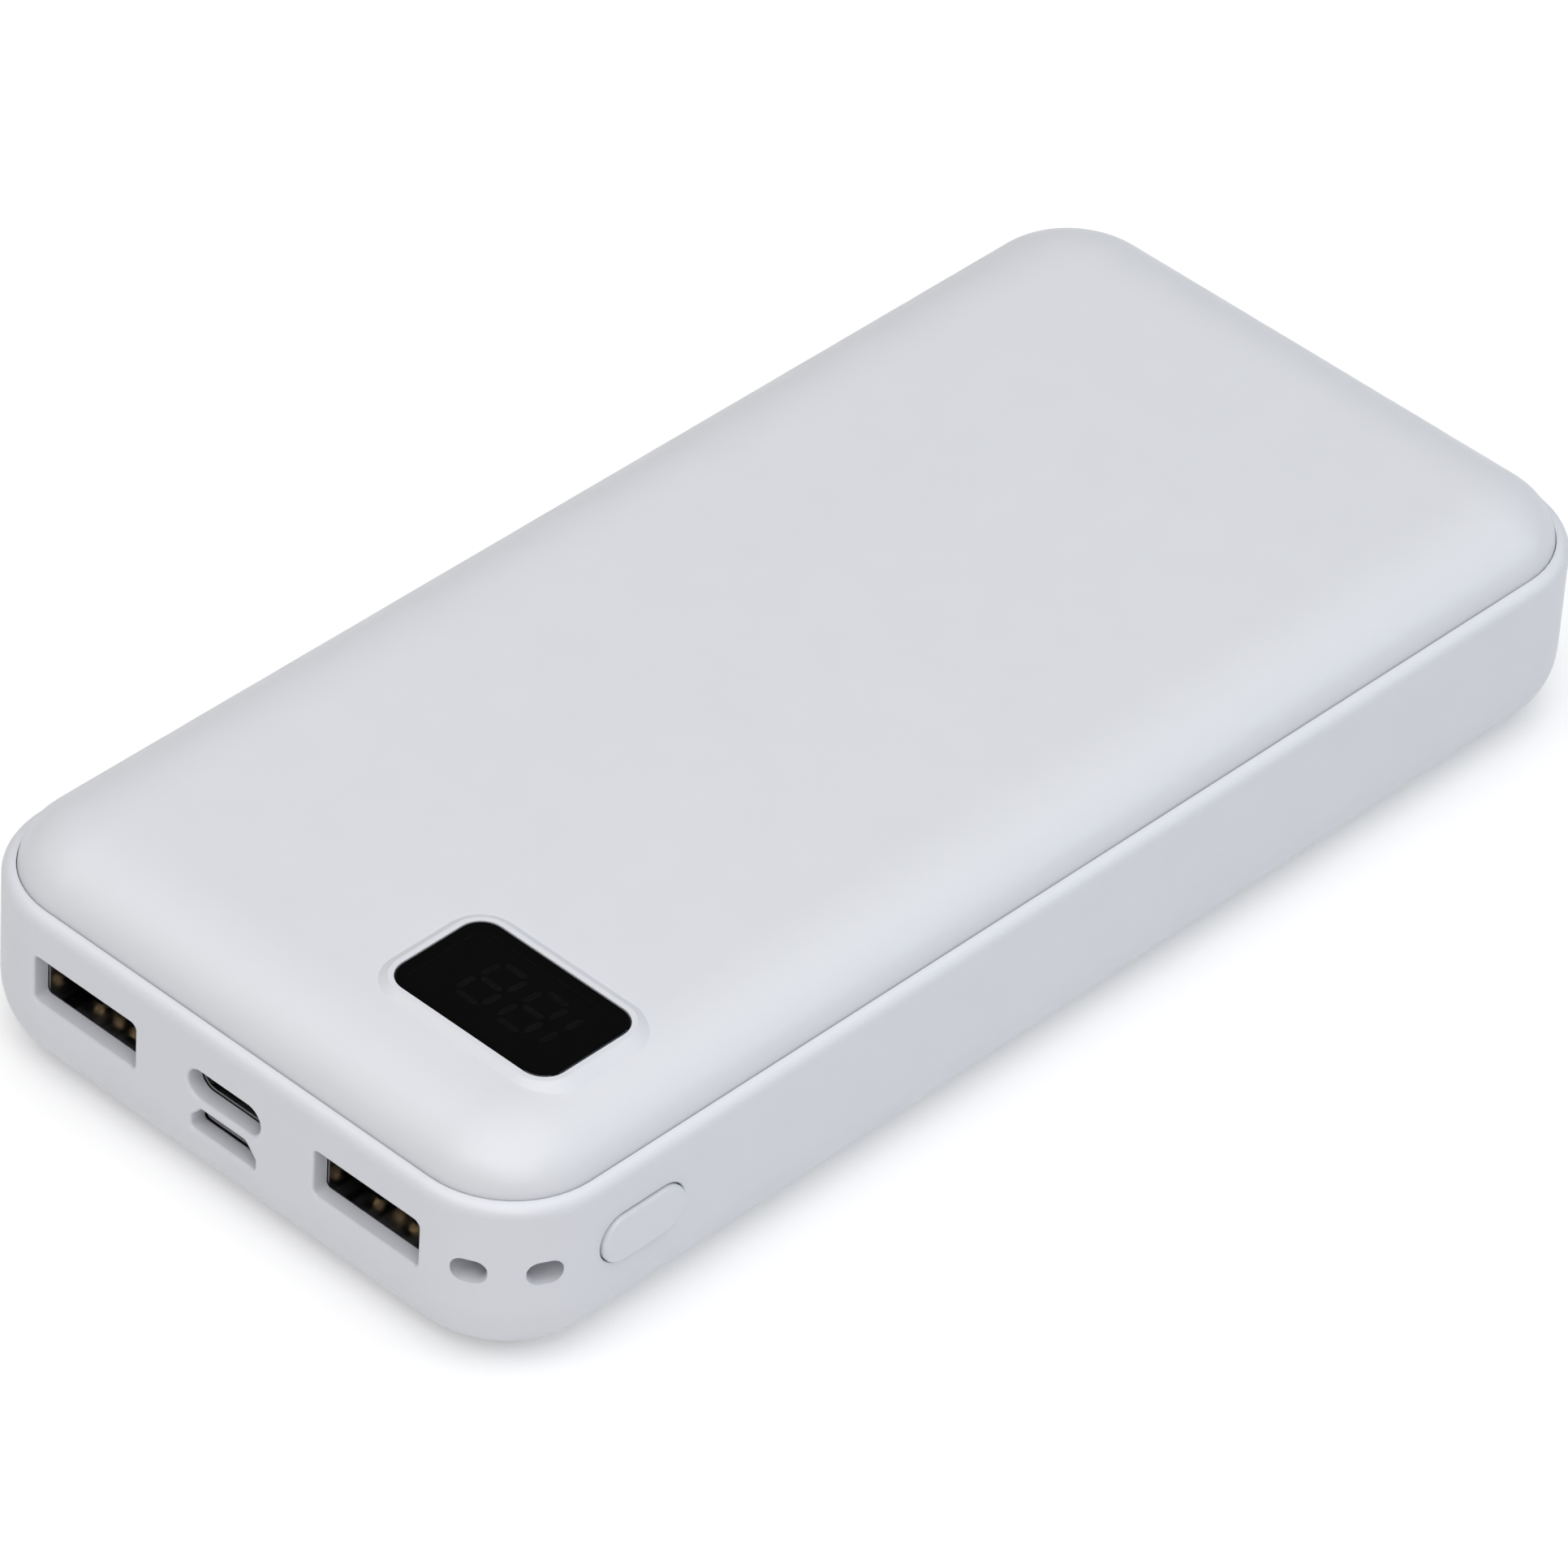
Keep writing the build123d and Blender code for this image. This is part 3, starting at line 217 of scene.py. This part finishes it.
def pouch_skin(name):
    """Laminated aluminium foil drawn over a cell: soft wrinkles under a dull rolled surface."""
    m = Nodes(name)
    m.colour(m.mix(m.noise(scale=60.0, detail=4.0), (0.62, 0.63, 0.65), (0.74, 0.75, 0.77)))
    m.roughness(m.ramp(m.noise(scale=700.0, stretch=ROLLED_ALONG_Y), low=0.30, high=0.46))
    wrinkles = m.bump(m.noise(scale=70.0), depth=0.25, strength=0.5)
    lines = m.noise(scale=1800.0, detail=2.0, stretch=ROLLED_ALONG_Y)
    m.bump(lines, depth=0.01, strength=0.5, below=wrinkles)
    m.set(Metallic=0.9)
    return m.material


def open_foam(name):
    """Black foam tape: open cells with soft rims."""
    m = Nodes(name)
    m.colour(m.mix(m.cells(FOAM_CELLS), (0.012, 0.012, 0.013), (0.07, 0.07, 0.074)))
    m.roughness(m.ramp(m.noise(scale=500.0), low=0.85, high=0.95))
    m.bump(m.cells(FOAM_CELLS), depth=0.15, strength=0.8)
    return m.material


# What each slot of the record is made of: a recipe, and the values that it is given.
FINISHES = {
    "case_plastic": (
        plastic,
        dict(colour=CASE_WHITE, rough=0.40, grain=0.004, spread=0.008, ripple=0.01),
    ),
    "cover_plastic": (
        plastic,
        dict(colour=COVER_WHITE, rough=0.40, grain=0.004, spread=0.006, ripple=0.01),
    ),
    "button_plastic": (
        plastic,
        dict(colour=CASE_WHITE, rough=0.38, grain=0.004, spread=0.008, ripple=0.01),
    ),
    "window_lens": (smoked_lens, {}),
    "black_adhesive": (plastic, dict(colour=SOOT, rough=0.7, grain=0.02, spread=0.2)),
    "black_plastic": (plastic, dict(colour=SOOT, rough=0.5, grain=0.02, spread=0.2)),
    "segment_resin": (
        plastic,
        dict(colour=(0.52, 0.53, 0.50), rough=0.4, grain=0.002, spread=0.05),
    ),
    "board_green": (solder_mask, {}),
    "tinned_metal": (metal, dict(colour=(0.62, 0.62, 0.60), rough=0.3)),
    "ferrite": (plastic, dict(colour=(0.05, 0.05, 0.055), rough=0.7, grain=0.03, spread=0.3)),
    "chip_epoxy": (
        plastic,
        dict(colour=(0.02, 0.02, 0.022), rough=0.5, grain=0.02, spread=0.25),
    ),
    "ceramic": (plastic, dict(colour=(0.35, 0.24, 0.14), rough=0.4, spread=0.15)),
    "screw_steel": (metal, dict(colour=(0.45, 0.45, 0.46), rough=0.3)),
    "red_insulation": (plastic, dict(colour=(0.45, 0.01, 0.01), rough=0.4)),
    "black_insulation": (plastic, dict(colour=SOOT, rough=0.4, spread=0.2)),
    "nickel": (metal, dict(colour=(0.60, 0.57, 0.52), rough=0.3, brush=(0.1, 1, 1))),
    "pouch_foil": (pouch_skin, {}),
    "foam": (open_foam, {}),
    "white_nylon": (plastic, dict(colour=(0.8, 0.8, 0.77), rough=0.5)),
    "connector_steel": (metal, dict(colour=(0.50, 0.50, 0.51), rough=0.16, brush=(1, 0.05, 1))),
    "connector_insulator": (plastic, dict(colour=SOOT, rough=0.45, grain=0.01, spread=0.2)),
    "port_insulator_light": (plastic, dict(colour=SOOT, rough=0.45, grain=0.01, spread=0.2)),
    "gold_contact": (metal, dict(colour=(0.72, 0.50, 0.26), rough=0.24, brush=(1, 0.1, 1))),
}


def dress_cad_nodes():
    """Give every carried-over CAD node the finish of its slot."""
    materials = {slot: recipe(slot, **values) for slot, (recipe, values) in FINISHES.items()}
    slots = {entry["node"]: entry["material_slot"] for entry in frame["record"]["subparts"]}
    for node, piece in frame["nodes"].items():
        piece.data.materials.clear()
        piece.data.materials.append(materials[slots[node]])


# ---- Stage and lights ----------------------------------------------------------------------------
FLOOR_SIZE = 6
FLOOR_GREYS = (0.69, 0.69, 0.69), (0.71, 0.71, 0.71)
FLOOR_MOTTLE = 3.0
FLOOR_ROUGHNESS = 0.9
FLOOR_GLOW = 0.25  # the floor's own light, which keeps the object's shadow pale
WORLD_STRENGTH = 0.07
OVERHEAD_STRENGTH = 2.36
OVERHEAD_SPREAD = math.radians(70)
OVERHEAD_PLACE = (0, 0, 2)
LIGHT_TARGET = (0, 0, 0.01)
COOL_WHITE = (0.72, 0.92, 1.15)
# Name, width and height, power in watts, place and colour.
SOFTBOXES = (
    ("right_back_softbox", (1.0, 0.7), 3.0, (0.9, 0.9, 0.75), COOL_WHITE),
    ("front_softbox", (1.2, 0.8), 4.7, (-0.1, -1.0, 1.25), WHITE),
    ("front_right_softbox", (0.9, 0.9), 7.2, (0.9, -0.7, 1.0), WHITE),
)


def make_stage():
    """A wide pale floor."""
    bpy.ops.mesh.primitive_plane_add(size=FLOOR_SIZE)
    floor = bpy.context.object
    floor.name = "floor"
    m = Nodes("floor")
    m.colour(m.mix(m.noise(FLOOR_MOTTLE), *FLOOR_GREYS))
    m.set(Roughness=FLOOR_ROUGHNESS, Emission_Color=WHITE, Emission_Strength=FLOOR_GLOW)
    floor.data.materials.append(m.material)


def add_light(name, data, place):
    """Put a light in the scene, turned towards the object."""
    light = bpy.data.objects.new(name, data)
    bpy.context.scene.collection.objects.link(light)
    light.location = place
    aim = Vector(LIGHT_TARGET) - Vector(place)
    light.rotation_euler = aim.to_track_quat("-Z", "Y").to_euler()


def add_softbox(name, size, power, place, colour):
    data = bpy.data.lights.new(name, "AREA")
    data.shape = "RECTANGLE"
    data.size, data.size_y = size
    data.energy = power
    data.color = colour
    add_light(name, data, place)


def add_overhead():
    """A wide soft light from straight above that reaches the whole floor evenly."""
    data = bpy.data.lights.new("overhead", "SUN")
    data.energy = OVERHEAD_STRENGTH
    data.angle = OVERHEAD_SPREAD
    add_light("overhead", data, OVERHEAD_PLACE)


def make_lights():
    """A dim even room, the light from above and three softboxes."""
    world = bpy.data.worlds.new("studio")
    bpy.context.scene.world = world
    world.use_nodes = True
    room = world.node_tree.nodes["Background"]
    room.inputs["Color"].default_value = (*WHITE, 1)
    room.inputs["Strength"].default_value = WORLD_STRENGTH
    add_overhead()
    for softbox in SOFTBOXES:
        add_softbox(*softbox)
    bpy.context.scene.view_settings.view_transform = "Standard"


# ---- Build ---------------------------------------------------------------------------------------
make_camera()
make_lights()
make_stage()
dress_cad_nodes()
